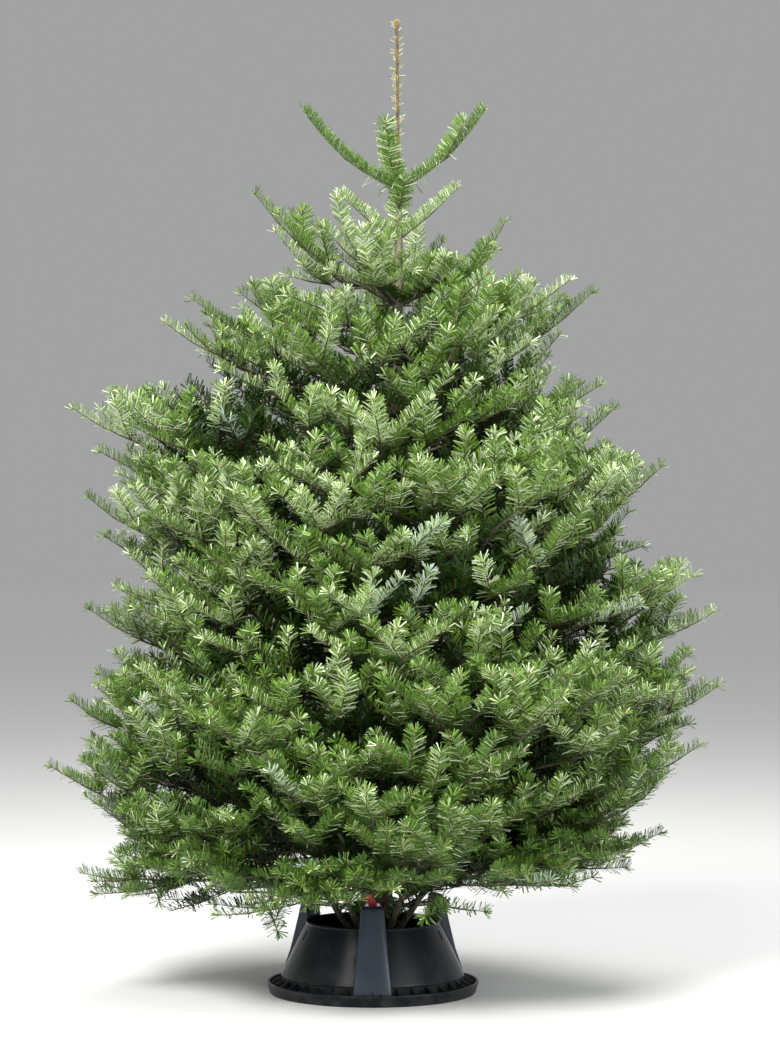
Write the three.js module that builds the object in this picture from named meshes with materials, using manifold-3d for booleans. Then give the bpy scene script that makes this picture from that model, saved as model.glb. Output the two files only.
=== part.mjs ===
// A cut fir, about two metres tall, clamped in a round plastic water stand. Millimetres, +Z up, with the
// origin at the middle of the stand's underside. Seen from the front (looking along +Y), +X is to the right.
//
// The stem is one whole solid. Tiers of boughs leave it like spokes, and each bough's needles are one flat,
// uneven mass that widens like a fan, fills its own sector of the tier and narrows to the bough's tip.
import * as THREE from 'three';
import Module from 'manifold-3d';
import { mergeVertices } from 'three/addons/utils/BufferGeometryUtils.js';

const wasm = await Module();
wasm.setup();

const GAP = 0.3; // left between solids that rest on each other
const SEED = 11; // the unevenness is the same each time

// Stem
const TREE_TOP = 2038;
const STEM_FOOT_RADIUS = 37;
const STEM_TOP_RADIUS = 5; // where the leading shoot starts
const LEADER_RADIUS = 3.2;
const LEADER_SHOULDER = 40; // height over which the stem thins to the leading shoot
const TAPER = 0.86;
const BUD_RADIUS = 6.5;
const BUD_LENGTH = 16;
const FLARE = 4; // added at the very foot
const FLARE_HEIGHT = 60;
const WHORL_SWELLING = 1.07; // where the boughs leave it
const LEAN = 54; // how far the stem has moved to the right at LEAN_HEIGHT
const LEAN_HEIGHT = 1500;
const LEAN_EASE = 0.2; // how much of the lean comes early
const LEADER_RETURN = 4; // the leading shoot comes back by this much
const WANDER = 5; // slow bends towards the front and back
const STEM_SIDES = 10;

// Stand
const BASE_RADIUS = 222;
const LIP_HEIGHT = 24;
const LIP_THICKNESS = 5;
const FLOOR = 6;
const WALL = 4;
const CONE_FOOT_RADIUS = 192;
const CONE_FOOT_HEIGHT = 38;
const RIM_RADIUS = 141;
const RIM_HEIGHT = 150;
const BASE_SEGMENTS = 40;
const SLOT = { width: 7, height: 19, drop: 16, bearings: [-20, 200] };
const POST_BEARINGS = [270, 30, 150];
const POST_TOP = 197;
const POST_FOOT_WIDTH = 84;
const POST_TOP_WIDTH = 45;
const POST_LIP_ROOM = 10; // between a post's foot and the base's lip
const POST_STEP = 3; // the foot of a post stands above the lip by this much
const POST_KNEE = [188, 82]; // where a post's outer face turns steeper, as [radius, z]
const POST_HEAD = { outer: 165, bevel: 4, inner: 6, drop: 6, throat: 8 };
const SEAT = 0.2; // more than the gap, where a post lies against the round cone
const CLAMP_HEIGHT = 176;
const CLAMP_RADIUS = 5;
const CLAMP_SIDES = 8;
const CLAMP_PAD = { width: 34, height: 26, thickness: 6, bite: 3 };
const CLAMP_BEHIND_POST = 3;
const TIE = { width: 13, thickness: 1.6, slack: 0.6, fromRim: 14, turns: 24 };
const TIE_TAIL = [[8, 0], [17, 18], [-7, 46], [-21, 34], [-2, 8]]; // its loose end, about the screw, as [x, z]

// Tiers of boughs, from the ground up. height: where they leave the stem. right and left: where the tips of
// the two side boughs are, as [x, z]. depth: how far the other boughs reach. half: the most that a mass rises
// above or hangs below its bough. fan: half the greatest width of a mass, as a share of its length. bare:
// where the needles start, as a distance out from the stem; zero where they start at the bark.
const TIERS = [
  { height: 72, right: [603, 316], left: [-607, 226], depth: 570, half: 40, fan: 0.42, bare: 225,
    bearings: [356, 90, 184, 236, 304] },
  { height: 312, right: [693, 487], left: [-679, 442], depth: 660, half: 88, fan: 0.46, bare: 0,
    bearings: [2, 62, 122, 180, 268] },
  { height: 480, right: [725, 636], left: [-632, 600], depth: 670, half: 112, fan: 0.46, bare: 0,
    bearings: [357, 88, 183, 238, 300] },
  { height: 680, right: [722, 772], left: [-603, 775], depth: 650, half: 118, fan: 0.46, bare: 0,
    bearings: [3, 58, 120, 178, 272] },
  { height: 880, right: [609, 1076], left: [-600, 1008], depth: 600, half: 118, fan: 0.46, bare: 0,
    bearings: [358, 92, 182, 240, 302] },
  { height: 1085, right: [517, 1191], left: [-632, 1206], depth: 520, half: 112, fan: 0.46, bare: 0,
    bearings: [4, 64, 124, 179, 266] },
  { height: 1275, right: [466, 1456], left: [-439, 1376], depth: 400, half: 96, fan: 0.46, bare: 0,
    bearings: [2, 84, 181, 236, 300] },
  { height: 1440, right: [288, 1582], left: [-252, 1662], depth: 240, half: 62, fan: 0.44, bare: 75,
    bearings: [356, 80, 176, 238] },
  { height: 1690, right: [239, 1859], left: [-147, 1849], depth: 150, half: 24, fan: 0.02, bare: 0,
    bearings: [5, 100, 174, 259] },
];
const SIDES = ['right', 'back_right', 'back', 'back_left', 'left', 'front_left', 'front', 'front_right'];
const ARCH = [[0, 72], [60, 140], [115, 222], [225, 258]]; // a lowest bough's climb over the rim, as [out, z]
const SIDE_BOUGH = 0.9; // cosine above which a bough counts as pointing sideways
const REACH_RANGE = [0.93, 1.04]; // how much the other boughs' reach differs, as a share of the depth
const CURL = 0.18; // how far a bough sags and turns up again, as a share of its length
const SWAY = 14; // how far a bough's tip is above or below its tier
const SHOOT_HALF_WIDTH = 24; // a mass is never slimmer than its middle shoot
const LOBES = 3.5; // side shoots along each edge
const LOBE_DEPTH = 0.2;
const UNEVENNESS = 0.14;
const FAN = { scale: 1.9, opening: 0.75, closing: 0.7 }; // how a mass's edges part and meet again
const SWELL = { least: 0.22, start: 0.12, stretch: 0.8, roundness: 0.7 }; // how its thickness does
const TIP_SLIMNESS = 0.35;
const LEAST_ROOM = 4;
const LEAST_HALF = 5;
const CLEARANCE = 5; // between masses, and from the stem
const WIDEST_HALF_SECTOR = 44; // degrees
const MASS_SIDES = 8;
const MASS_STATIONS = 10;
const BOUGH_SIDES = 6;
const BOUGH_STATIONS = 6;
const BOUGH_GIRTH = { share: 0.42, power: 0.8, least: 1.6, taper: 0.72 }; // from the stem's radius there
const BOUGH_END_ROOM = 2;

const BARK = { color: 0x5b4a36, roughness: 0.9, metalness: 0 };
const NEEDLES = { color: 0x3f6b32, roughness: 0.55, metalness: 0 };
const BLACK_PLASTIC = { color: 0x24272c, roughness: 0.35, metalness: 0 };
const STEEL = { color: 0x9a9c9e, roughness: 0.4, metalness: 1 };
const RED_TAPE = { color: 0xa3182a, roughness: 0.5, metalness: 0 };

const group = new THREE.Group();
const { clamp, degToRad, lerp, seededRandom } = THREE.MathUtils;
seededRandom(SEED);

function add(name, geometry, finish, parent = group) {
  const mesh = new THREE.Mesh(geometry, new THREE.MeshStandardMaterial(finish));
  mesh.name = name;
  parent.add(mesh);
  return mesh;
}

function spokeDirection(bearing) {
  return new THREE.Vector3(Math.cos(degToRad(bearing)), Math.sin(degToRad(bearing)), 0);
}

function sideName(bearing) {
  return SIDES[Math.round(bearing / 45) % SIDES.length];
}

// A closed skin over rings of points that run anticlockwise about the direction from ring to ring.
function loft(rings) {
  const sides = rings[0].length;
  const points = rings.flat();
  const faces = [];
  for (let ring = 0; ring < rings.length - 1; ring += 1) {
    for (let side = 0; side < sides; side += 1) {
      const near = ring * sides + side;
      const next = ring * sides + ((side + 1) % sides);
      faces.push(near, next, next + sides, near, next + sides, near + sides);
    }
  }
  const capEnd = (firstPoint, flipped) => {
    const middle = new THREE.Vector3();
    for (let side = 0; side < sides; side += 1) middle.addScaledVector(points[firstPoint + side], 1 / sides);
    points.push(middle);
    for (let side = 0; side < sides; side += 1) {
      const here = firstPoint + side;
      const next = firstPoint + ((side + 1) % sides);
      faces.push(points.length - 1, flipped ? next : here, flipped ? here : next);
    }
  };
  capEnd(0, true);
  capEnd((rings.length - 1) * sides, false);
  const geometry = new THREE.BufferGeometry().setFromPoints(points);
  geometry.setIndex(faces);
  return geometry;
}

// A ring about a centre: side and up span its plane, and radii gives the half width and height at an angle.
function ring(centre, side, up, count, radii) {
  return Array.from({ length: count }, (_, index) => {
    const angle = (index / count) * 2 * Math.PI;
    const [across, above] = radii(angle);
    return centre.clone()
      .addScaledVector(side, Math.cos(angle) * across)
      .addScaledVector(up, Math.sin(angle) * above);
  });
}

// ---- Stem ----

function stemCentre(z) {
  const climbed = Math.min(z / LEAN_HEIGHT, 1);
  const leader = Math.max(0, z - TIERS.at(-1).height) / (TREE_TOP - TIERS.at(-1).height);
  const x = LEAN * climbed * (1 + LEAN_EASE - LEAN_EASE * climbed) - LEADER_RETURN * leader;
  return new THREE.Vector3(x, WANDER * Math.sin((z / LEAN_HEIGHT) * 2 * Math.PI) * (1 - leader), z);
}

function stemRadius(z) {
  const top = TIERS.at(-1).height;
  if (z > TREE_TOP - BUD_LENGTH) {
    return BUD_RADIUS * Math.sqrt(Math.max(0.08, 1 - ((z - TREE_TOP + BUD_LENGTH) / BUD_LENGTH) ** 2));
  }
  if (z > top) return lerp(STEM_TOP_RADIUS, LEADER_RADIUS, Math.min((z - top) / LEADER_SHOULDER, 1));
  const taper = lerp(STEM_FOOT_RADIUS, STEM_TOP_RADIUS, 1 - (1 - z / top) ** TAPER);
  return taper + FLARE * Math.exp(-z / FLARE_HEIGHT);
}

function makeStem() {
  const heights = [FLOOR + GAP, 40];
  TIERS.forEach((tier, index) => {
    heights.push(tier.height);
    const next = TIERS[index + 1];
    if (next) heights.push((tier.height + next.height) / 2);
  });
  const top = TIERS.at(-1).height;
  heights.push(top + LEADER_SHOULDER, (top + TREE_TOP) / 2, TREE_TOP - 2.2 * BUD_LENGTH, TREE_TOP - BUD_LENGTH,
    TREE_TOP - 0.4 * BUD_LENGTH, TREE_TOP);
  const whorls = new Set(TIERS.map((tier) => tier.height));
  const side = new THREE.Vector3(1, 0, 0);
  const up = new THREE.Vector3(0, 1, 0);
  const rings = heights.map((z) => {
    const radius = stemRadius(z) * (whorls.has(z) ? WHORL_SWELLING : 1);
    return ring(stemCentre(z), side, up, STEM_SIDES, () => [radius, radius]);
  });
  add('trunk', loft(rings), BARK);
}

// ---- Boughs and foliage ----

// How far a side bough of this tier reaches, and how steeply it rises; direction is 1 for right, -1 for left.
function sideBough(tier, direction) {
  const [x, z] = direction > 0 ? tier.right : tier.left;
  const reach = Math.abs(x - stemCentre(tier.height).x);
  const start = tier === TIERS[0] ? ARCH.at(-1) : [0, tier.height];
  return { reach, slope: (z - start[1]) / (reach - start[0]) };
}

// The height of a tier's middle surface, out from the stem on a bearing. It blends from the left bough's
// rise to the right bough's; the boughs of a tier lie on it.
function tierHeight(tier, bearing, out) {
  const toRight = (1 + Math.cos(degToRad(bearing))) / 2;
  const [right, left] = [sideBough(tier, 1), sideBough(tier, -1)];
  const slope = lerp(left.slope, right.slope, toRight);
  if (tier === TIERS[0]) return ARCH.at(-1)[1] + slope * Math.max(0, out - ARCH.at(-1)[0]);
  const reach = lerp(left.reach, right.reach, toRight);
  return tier.height + slope * out + CURL * out * (Math.min(out / reach, 1.1) - 1);
}

// How far a bough reaches. Boughs that point sideways end at the tier's right or left tip; the others reach
// the tier's depth, a little more or less each.
function boughReach(tier, bearing) {
  const direction = spokeDirection(bearing);
  if (Math.abs(direction.x) > SIDE_BOUGH) {
    return sideBough(tier, Math.sign(direction.x)).reach / Math.abs(direction.x);
  }
  return tier.depth * lerp(...REACH_RANGE, seededRandom());
}

// A bough's middle line out to a given distance. The lowest boughs climb over the stand's rim first.
function boughLine(tier, bearing, end) {
  const root = stemCentre(tier.height);
  const places = tier === TIERS[0] ? ARCH : [0, 0.33, 0.66, 1].map((share) => {
    return [share * end, tierHeight(tier, bearing, share * end)];
  });
  return new THREE.CatmullRomCurve3(places.map(([out, z]) => {
    return root.clone().addScaledVector(spokeDirection(bearing), out).setZ(z);
  }));
}

// The share of a bough's line at which it is this far out from the bark.
function shareOutside(line, clearance) {
  for (let share = 0; share < 1; share += 0.002) {
    const point = line.getPointAt(share);
    const axis = stemCentre(point.z);
    const out = Math.hypot(point.x - axis.x, point.y - axis.y);
    if (out > stemRadius(point.z) * WHORL_SWELLING + clearance) return share;
  }
  return 1;
}

function makeBough(tier, tierName, bearing) {
  const line = boughLine(tier, bearing, tier.bare);
  const thickness = BOUGH_GIRTH.share * stemRadius(tier.height) ** BOUGH_GIRTH.power + BOUGH_GIRTH.least;
  const startShare = shareOutside(line, thickness);
  const endShare = 1 - BOUGH_END_ROOM / line.getLength();
  const across = new THREE.Vector3(0, 0, 1).cross(spokeDirection(bearing));
  const rings = Array.from({ length: BOUGH_STATIONS }, (_, station) => {
    const along = station / (BOUGH_STATIONS - 1);
    const share = lerp(startShare, endShare, along);
    const up = line.getTangentAt(share).cross(across).normalize();
    const radius = lerp(thickness, BOUGH_GIRTH.taper * thickness, along);
    return ring(line.getPointAt(share), across, up, BOUGH_SIDES, () => [radius, radius]);
  });
  add(`bough_${tierName}_${sideName(bearing)}`, loft(rings), BARK);
}

// The least and greatest height that a tier's masses may have at a place: midway to the next tiers.
function tierRoom(index, bearing, out) {
  const here = tierHeight(TIERS[index], bearing, out);
  const below = index > 0 ? tierHeight(TIERS[index - 1], bearing, out) : -Infinity;
  const above = index < TIERS.length - 1 ? tierHeight(TIERS[index + 1], bearing, out) : Infinity;
  return [(below + here) / 2 + CLEARANCE, (here + above) / 2 - CLEARANCE];
}

// One bough's needles. The half width on each side stays inside the half sector that the bough shares with
// its neighbour, and the thickness between the tiers above and below; rounded lobes along both edges stand
// for the ends of its side shoots.
function makeFoliage(tier, index, bearing, sectors) {
  const root = stemCentre(tier.height);
  const direction = spokeDirection(bearing);
  const vertical = new THREE.Vector3(0, 0, 1);
  const across = vertical.clone().cross(direction);
  const reach = boughReach(tier, bearing);
  const start = Math.max(tier.bare, stemRadius(tier.height) * WHORL_SWELLING + 2 * CLEARANCE);
  const sway = SWAY * (2 * seededRandom() - 1) * Math.min(1, tier.half / 60);
  const phases = [seededRandom(), seededRandom()];
  const rings = Array.from({ length: MASS_STATIONS }, (_, station) => {
    const along = station / (MASS_STATIONS - 1);
    const out = lerp(start, reach, along);
    const fan = tier.fan * reach * FAN.scale * along ** FAN.opening * (1 - along) ** FAN.closing;
    const phase = Math.min(1, SWELL.start + (1 - SWELL.start) * along ** SWELL.stretch);
    const swell = SWELL.least + (1 - SWELL.least) * Math.sin(Math.PI * phase) ** SWELL.roundness;
    const slim = Math.min(SHOOT_HALF_WIDTH, tier.half) * lerp(1, TIP_SLIMNESS, along ** 3);
    const plain = ring(root.clone().addScaledVector(direction, out), across, vertical, MASS_SIDES, (angle) => {
      const edge = Math.cos(angle) > 0 ? 0 : 1;
      const lobe = 1 + LOBE_DEPTH * Math.cos(2 * Math.PI * (along * LOBES + phases[edge]));
      const uneven = 1 + UNEVENNESS * (2 * seededRandom() - 1);
      const room = Math.max(out * Math.tan(sectors[edge]) - CLEARANCE, LEAST_ROOM);
      return [Math.min((fan * lobe + slim) * uneven, room), Math.max(tier.half * swell * uneven, LEAST_HALF)];
    });
    return plain.map((point) => {
      const above = point.z - root.z;
      const distance = Math.hypot(point.x - root.x, point.y - root.y);
      const turn = THREE.MathUtils.radToDeg(Math.atan2(point.y - root.y, point.x - root.x));
      const [lowest, highest] = tierRoom(index, turn, distance);
      const height = tierHeight(tier, turn, distance) + sway * along ** 2 + above;
      return point.setZ(clamp(height, lowest, highest));
    });
  });
  add(`foliage_tier${index + 1}_${sideName(bearing)}`, loft(rings), NEEDLES);
}

function makeTier(tier, index) {
  const { bearings } = tier;
  bearings.forEach((bearing, place) => {
    const sectors = [1, -1].map((step) => {
      const neighbour = bearings[(place + step + bearings.length) % bearings.length];
      const turn = ((((neighbour - bearing) * step) % 360) + 360) % 360;
      return degToRad(Math.min(turn / 2, WIDEST_HALF_SECTOR));
    });
    const shown = tier === TIERS[0] || sideName(bearing) !== 'back';
    if (tier.bare > 0 && shown) makeBough(tier, `tier${index + 1}`, bearing);
    makeFoliage(tier, index, bearing, sectors);
  });
}

// ---- Stand ----

function toSolid(geometry) {
  const bare = geometry.clone();
  bare.deleteAttribute('normal');
  bare.deleteAttribute('uv');
  const merged = mergeVertices(bare, 1e-4);
  return new wasm.Manifold(new wasm.Mesh({
    numProp: 3,
    vertProperties: merged.attributes.position.array,
    triVerts: new Uint32Array(merged.index.array),
  }));
}

function toGeometry(solid) {
  const mesh = solid.getMesh();
  const geometry = new THREE.BufferGeometry();
  geometry.setAttribute('position', new THREE.BufferAttribute(mesh.vertProperties, 3));
  geometry.setIndex(new THREE.BufferAttribute(mesh.triVerts, 1));
  return geometry;
}

// The moulded base: a flat floor, a low outer lip, and the cone that holds the water round the stem.
function makeBase() {
  const outline = [
    [0, 0], [BASE_RADIUS - 3, 0], [BASE_RADIUS, LIP_HEIGHT - 2], [BASE_RADIUS - 2, LIP_HEIGHT],
    [BASE_RADIUS - LIP_THICKNESS, LIP_HEIGHT], [BASE_RADIUS - LIP_THICKNESS - 1, FLOOR],
    [CONE_FOOT_RADIUS + 2, FLOOR], [CONE_FOOT_RADIUS, CONE_FOOT_HEIGHT], [RIM_RADIUS, RIM_HEIGHT],
    [RIM_RADIUS - WALL, RIM_HEIGHT], [CONE_FOOT_RADIUS - WALL, CONE_FOOT_HEIGHT],
    [CONE_FOOT_RADIUS - WALL, FLOOR], [0, FLOOR],
  ].map(([radius, z]) => new THREE.Vector2(radius, z));
  const lathe = new THREE.LatheGeometry(outline, BASE_SEGMENTS);
  lathe.rotateX(Math.PI / 2); // the turning axis becomes +Z
  let base = toSolid(lathe);
  for (const bearing of SLOT.bearings) {
    const cutter = new THREE.BoxGeometry(6 * WALL, SLOT.width, SLOT.height);
    const middle = RIM_HEIGHT - SLOT.drop - SLOT.height / 2;
    cutter.translate(RIM_RADIUS + 8, 0, middle);
    cutter.rotateZ(degToRad(bearing));
    base = base.subtract(toSolid(cutter));
  }
  add('stand_base', toGeometry(base), BLACK_PLASTIC);
}

// A broad post leans against the outside of the cone and stands up past its rim, where its clamp goes through.
function makePost(spoke, bearing) {
  const footRadius = BASE_RADIUS - LIP_THICKNESS - POST_LIP_ROOM;
  const profile = new THREE.Shape([
    [CONE_FOOT_RADIUS + 2 + GAP, FLOOR + GAP], [footRadius, FLOOR + GAP],
    [footRadius - 1, LIP_HEIGHT + POST_STEP], POST_KNEE,
    [POST_HEAD.outer, POST_TOP - POST_HEAD.drop], [POST_HEAD.outer - POST_HEAD.bevel, POST_TOP],
    [RIM_RADIUS + POST_HEAD.inner, POST_TOP], [RIM_RADIUS + 2, RIM_HEIGHT + POST_HEAD.throat],
    [RIM_RADIUS + GAP + SEAT, RIM_HEIGHT], [CONE_FOOT_RADIUS + GAP + SEAT, CONE_FOOT_HEIGHT],
  ].map(([radius, z]) => new THREE.Vector2(radius, z)));
  const geometry = new THREE.ExtrudeGeometry(profile, { depth: 1, bevelEnabled: false });
  geometry.translate(0, 0, -0.5);
  geometry.rotateX(Math.PI / 2);
  const places = geometry.attributes.position;
  for (let index = 0; index < places.count; index += 1) {
    const climbed = places.getZ(index) / POST_TOP;
    places.setY(index, places.getY(index) * lerp(POST_FOOT_WIDTH, POST_TOP_WIDTH, climbed));
  }
  add(`stand_post_${sideName(bearing)}`, geometry, BLACK_PLASTIC, spoke);
}

// A clamp: a level screw from its post to the stem, ending in a pad that presses on the bark.
function makeClamp(spoke, bearing) {
  const stem = stemCentre(CLAMP_HEIGHT);
  const { width, height, thickness, bite } = CLAMP_PAD;
  const bark = stem.dot(spokeDirection(bearing)) + stemRadius(CLAMP_HEIGHT) + bite;
  const postFace = RIM_RADIUS + CLAMP_BEHIND_POST;
  const pad = new THREE.BoxGeometry(thickness, width, height);
  pad.translate(bark + thickness / 2, 0, CLAMP_HEIGHT);
  const screwLength = postFace - bark - thickness / 2;
  const screw = new THREE.CylinderGeometry(CLAMP_RADIUS, CLAMP_RADIUS, screwLength, CLAMP_SIDES);
  screw.rotateZ(Math.PI / 2);
  screw.translate(postFace - screwLength / 2, 0, CLAMP_HEIGHT);
  const clampSolid = toSolid(pad).add(toSolid(screw));
  add(`stand_clamp_${sideName(bearing)}`, toGeometry(clampSolid), STEEL, spoke);
}

// A red tie looped round the front clamp's screw. Its broad loose end stands up behind the front post.
function makeTie() {
  const inner = CLAMP_RADIUS + GAP + TIE.slack;
  const band = new THREE.Shape().absarc(0, 0, inner + TIE.thickness, 0, 2 * Math.PI, false);
  band.holes.push(new THREE.Path().absarc(0, 0, inner, 0, 2 * Math.PI, true));
  const loop = new THREE.ExtrudeGeometry(band, { depth: TIE.width, bevelEnabled: false, curveSegments: TIE.turns });
  const flat = new THREE.Shape(TIE_TAIL.map(([x, z]) => new THREE.Vector2(x, z)));
  const tail = new THREE.ExtrudeGeometry(flat, { depth: TIE.thickness, bevelEnabled: false });
  const screwHole = new THREE.CylinderGeometry(inner, inner, 3 * TIE.width, 2 * TIE.turns);
  screwHole.rotateX(Math.PI / 2);
  const tie = toGeometry(toSolid(loop).add(toSolid(tail)).subtract(toSolid(screwHole)));
  tie.rotateX(Math.PI / 2);
  tie.translate(0, -(RIM_RADIUS - TIE.fromRim), CLAMP_HEIGHT);
  add('red_tie', tie, RED_TAPE);
}

makeStem();
TIERS.forEach(makeTier);
makeBase();
for (const bearing of POST_BEARINGS) {
  const spoke = new THREE.Group();
  spoke.rotation.z = degToRad(bearing);
  group.add(spoke);
  makePost(spoke, bearing);
  makeClamp(spoke, bearing);
}
makeTie();

export default group;
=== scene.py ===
import itertools
import math
import random

import bmesh
import bpy
import numpy as np
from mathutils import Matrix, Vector, noise


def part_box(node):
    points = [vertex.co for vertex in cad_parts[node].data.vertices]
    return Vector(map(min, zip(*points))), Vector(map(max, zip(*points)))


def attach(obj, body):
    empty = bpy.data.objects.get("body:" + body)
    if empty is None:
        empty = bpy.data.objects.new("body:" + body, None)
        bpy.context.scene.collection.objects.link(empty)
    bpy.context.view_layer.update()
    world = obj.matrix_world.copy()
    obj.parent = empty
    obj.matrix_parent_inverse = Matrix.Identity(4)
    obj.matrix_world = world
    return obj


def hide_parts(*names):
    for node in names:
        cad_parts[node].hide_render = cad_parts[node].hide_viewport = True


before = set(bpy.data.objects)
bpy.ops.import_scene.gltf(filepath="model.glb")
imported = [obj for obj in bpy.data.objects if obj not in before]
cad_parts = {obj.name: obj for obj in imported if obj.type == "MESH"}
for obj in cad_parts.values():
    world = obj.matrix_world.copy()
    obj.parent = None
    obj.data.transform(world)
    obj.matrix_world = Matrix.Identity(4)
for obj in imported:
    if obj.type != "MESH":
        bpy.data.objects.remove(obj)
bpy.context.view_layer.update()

# ---- Stand base ----
# The foot of the stand is one injection-moulded piece of black plastic: a flat underside, a low outer lip
# with a rolled edge, a trough stiffened by thin radial ribs, and the hollow cone that holds the water.
ROUND_STEPS = 144
FLOOR = 0.006
WALL = 0.004
LIP_WALL = 0.005
LIP_HEIGHT = 0.024
CONE_FOOT = (0.03, 0.05)
BEAD = 0.0024
MOULD_ROUNDING = 0.0016
RIBS = 36
RIB_WIDTH = 0.0022
SLOT_WIDTH = 0.007
SLOT_HEIGHT = 0.019
SLOT_DROP = 0.016
SLOT_BEARINGS = (-20, 200)
RIB_DROP = 0.004
CREASE = 35
PLASTIC_COLOUR = (0.0045, 0.007, 0.010, 1)
DUST_COLOUR = (0.050, 0.050, 0.046, 1)
SCUFF_COLOUR = (0.020, 0.028, 0.038, 1)
SCUFF_SCALE = 26
DUST_HEIGHT = 0.075
DULLEST = 0.62


def corners_of(node):
    """Every vertex of a CAD node, as rows of x, y, z."""
    return np.array([v.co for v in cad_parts[node].data.vertices])


def soften(corners, radius, steps=4):
    """A closed outline with each corner turned into a small curve."""
    outline = []
    for index, corner in enumerate(corners):
        corner = Vector(corner)
        before = Vector(corners[index - 1]) - corner
        after = Vector(corners[(index + 1) % len(corners)]) - corner
        if corner.x < 1e-6 or radius <= 0:
            outline.append(corner)
            continue
        start = corner + before.normalized() * min(radius, before.length * 0.4)
        end = corner + after.normalized() * min(radius, after.length * 0.4)
        for step in range(steps + 1):
            share = step / steps
            outline.append(start * (1 - share) ** 2 + corner * 2 * share * (1 - share) + end * share ** 2)
    return outline


def turn(outline, steps=ROUND_STEPS):
    """Turns an outline of (radius, z) about the vertical axis, with poles where the radius is zero."""
    made = bmesh.new()
    rings = []
    for radius, z in outline:
        if radius < 1e-6:
            rings.append([made.verts.new((0, 0, z))])
            continue
        angles = [2 * math.pi * step / steps for step in range(steps)]
        rings.append([made.verts.new((radius * math.cos(a), radius * math.sin(a), z)) for a in angles])
    for ring, following in zip(rings, rings[1:] + rings[:1]):
        for step in range(steps):
            here = step % len(ring), (step + 1) % len(ring)
            there = step % len(following), (step + 1) % len(following)
            loop = [ring[here[0]], ring[here[1]], following[there[1]], following[there[0]]]
            face = list(dict.fromkeys(loop))
            if len(face) > 2:
                made.faces.new(face)
    return made


def add_box(made, low, high, turned_by=0.0):
    """Adds a box, turned about the vertical axis, to a mesh that is being made."""
    corners = [(x, y, z) for x in (low[0], high[0]) for y in (low[1], high[1]) for z in (low[2], high[2])]
    cosine, sine = math.cos(turned_by), math.sin(turned_by)
    verts = [made.verts.new((x * cosine - y * sine, x * sine + y * cosine, z)) for x, y, z in corners]
    for face in ((0, 1, 3, 2), (4, 6, 7, 5), (0, 4, 5, 1), (2, 3, 7, 6), (0, 2, 6, 4), (1, 5, 7, 3)):
        made.faces.new([verts[corner] for corner in face])
    return verts


def skin(made, rings, flat_ends=False):
    """Joins rings of corners into a tube and closes both ends, a flat strip's with a row of faces."""
    for ring, following in zip(rings, rings[1:]):
        for step in range(len(ring)):
            after = (step + 1) % len(ring)
            made.faces.new((ring[step], ring[after], following[after], following[step]))
    for ring in (rings[0], rings[-1]):
        if not flat_ends:
            made.faces.new(ring)
            continue
        for step in range(len(ring) // 2 - 1):
            made.faces.new((ring[step], ring[step + 1], ring[-2 - step], ring[-1 - step]))


def add_piece(name, mesh, finishes, stands_for, crease=CREASE):
    """Puts a finished mesh in the scene as a piece of the object, in place of its CAD nodes."""
    if isinstance(mesh, bmesh.types.BMesh):
        made = mesh
        bmesh.ops.recalc_face_normals(made, faces=made.faces)
        mesh = bpy.data.meshes.new(name)
        made.to_mesh(mesh)
        made.free()
    for finish in finishes:
        mesh.materials.append(finish)
    if crease:
        mesh.polygons.foreach_set("use_smooth", [True] * len(mesh.polygons))
        mesh.set_sharp_from_angle(angle=math.radians(crease))
    piece = bpy.data.objects.new(name, mesh)
    bpy.context.scene.collection.objects.link(piece)
    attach(piece, "root")
    if stands_for:
        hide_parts(*stands_for)
    return piece


def cut(piece, cutters):
    """Cuts a bmesh of closed boxes out of a piece."""
    tool_mesh = bpy.data.meshes.new("cutter")
    bmesh.ops.recalc_face_normals(cutters, faces=cutters.faces)
    cutters.to_mesh(tool_mesh)
    cutters.free()
    tool = bpy.data.objects.new("cutter", tool_mesh)
    bpy.context.scene.collection.objects.link(tool)
    modifier = piece.modifiers.new("cut", "BOOLEAN")
    modifier.object = tool
    modifier.operation = "DIFFERENCE"
    modifier.solver = "EXACT"
    depsgraph = bpy.context.evaluated_depsgraph_get()
    result = bpy.data.meshes.new_from_object(piece.evaluated_get(depsgraph))
    piece.modifiers.clear()
    piece.data = result
    bpy.data.objects.remove(tool)
    piece.data.set_sharp_from_angle(angle=math.radians(CREASE))


def feed(tree, node, inputs):
    """Sets a node's inputs: to a value, or by a link where another node's output is given."""
    for name, given in inputs.items():
        if isinstance(given, bpy.types.NodeSocket):
            tree.links.new(given, node.inputs[name])
        else:
            node.inputs[name].default_value = given


def add_node(tree, kind, inputs, **settings):
    """Adds a shader node with these settings and inputs, and returns it."""
    node = tree.nodes.new("ShaderNode" + kind)
    for name, value in settings.items():
        setattr(node, name, value)
    feed(tree, node, inputs)
    return node


def new_finish(name):
    """A new material, its node tree and its shader."""
    finish = bpy.data.materials.new(name)
    finish.use_nodes = True
    return finish, finish.node_tree, finish.node_tree.nodes["Principled BSDF"]


def bumped(tree, height, strength, distance):
    """The normal of a surface raised a little where the height is high."""
    return add_node(tree, "Bump", {"Height": height, "Strength": strength, "Distance": distance}).outputs[0]


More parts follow.
